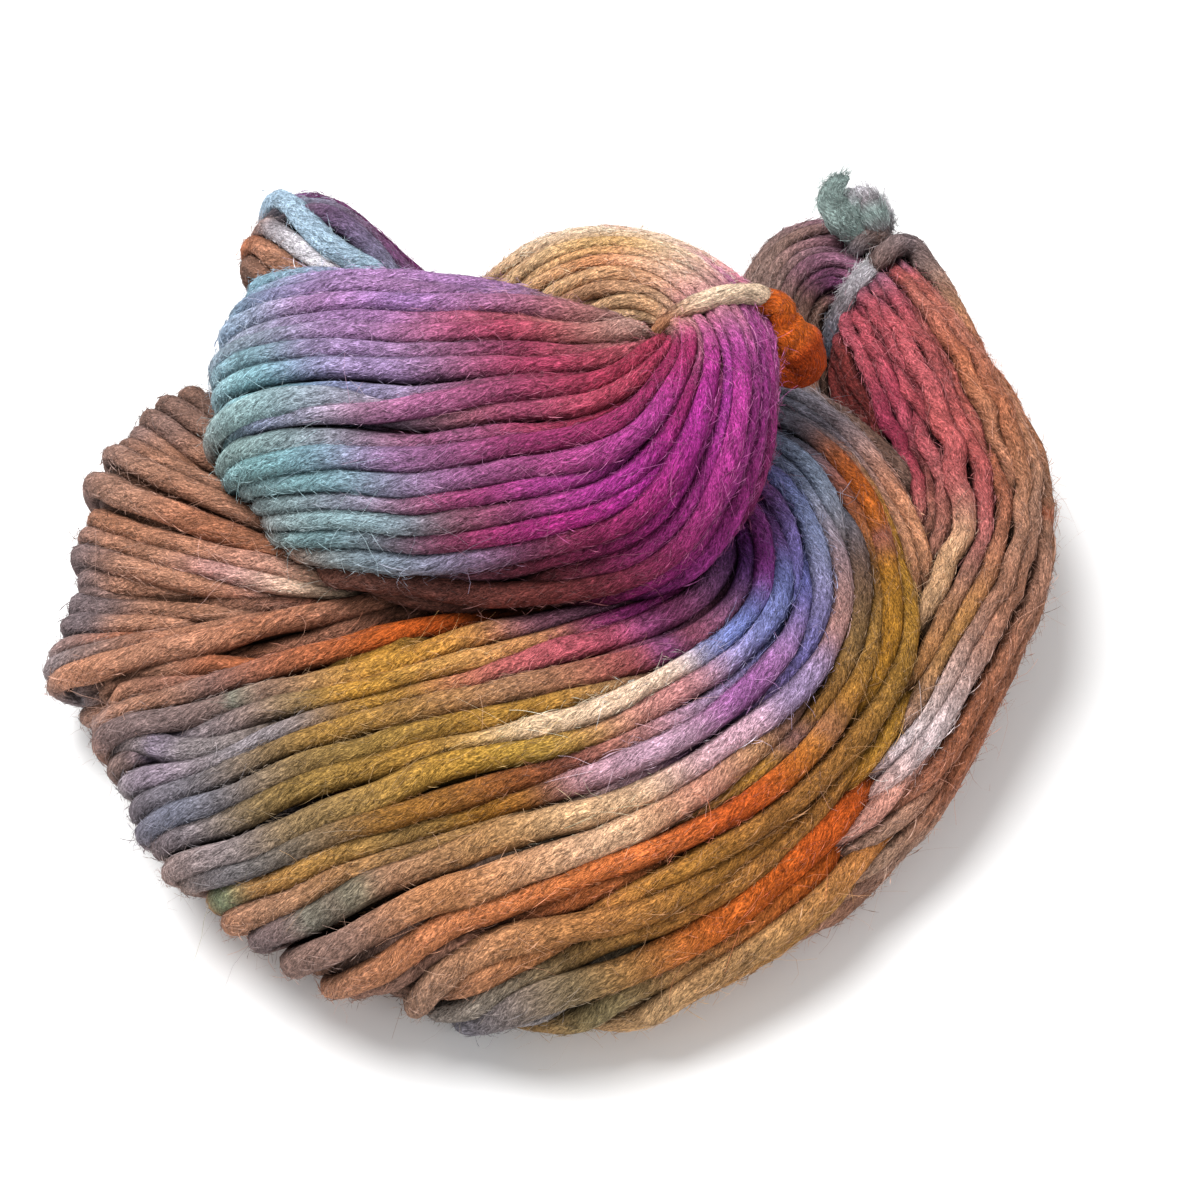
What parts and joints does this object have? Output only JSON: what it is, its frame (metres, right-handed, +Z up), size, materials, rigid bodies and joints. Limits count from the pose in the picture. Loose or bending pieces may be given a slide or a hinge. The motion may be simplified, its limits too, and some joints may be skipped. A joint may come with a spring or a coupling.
{
  "type": "skein of roving yarn",
  "caption": "Hank of thick single-ply wool roving yarn, hand-dyed in mixed colours, lying in a loose curled heap and tied with short lengths of the same yarn.",
  "frame": {"origin": "middle of the heap's footprint box, on the surface that it lies on", "axes": "+Z up; +Y away from the viewer of the picture, towards the back of the heap; +X to that viewer's right"},
  "size_m": [0.3024, 0.3046, 0.1091],
  "materials": {
    "hank": "matte felted wool roving, space-dyed in brown, taupe, ochre, orange, pink, magenta, lilac, blue and aqua",
    "tie_centre": "matte felted wool roving, beige going to orange",
    "tie_right": "matte felted wool roving, grey going to grey-green, ends frayed"
  },
  "bodies": {
    "root": {"hank": "hank", "tie_centre": "tie_centre", "tie_right": "tie_right"}
  },
  "joints": []
}
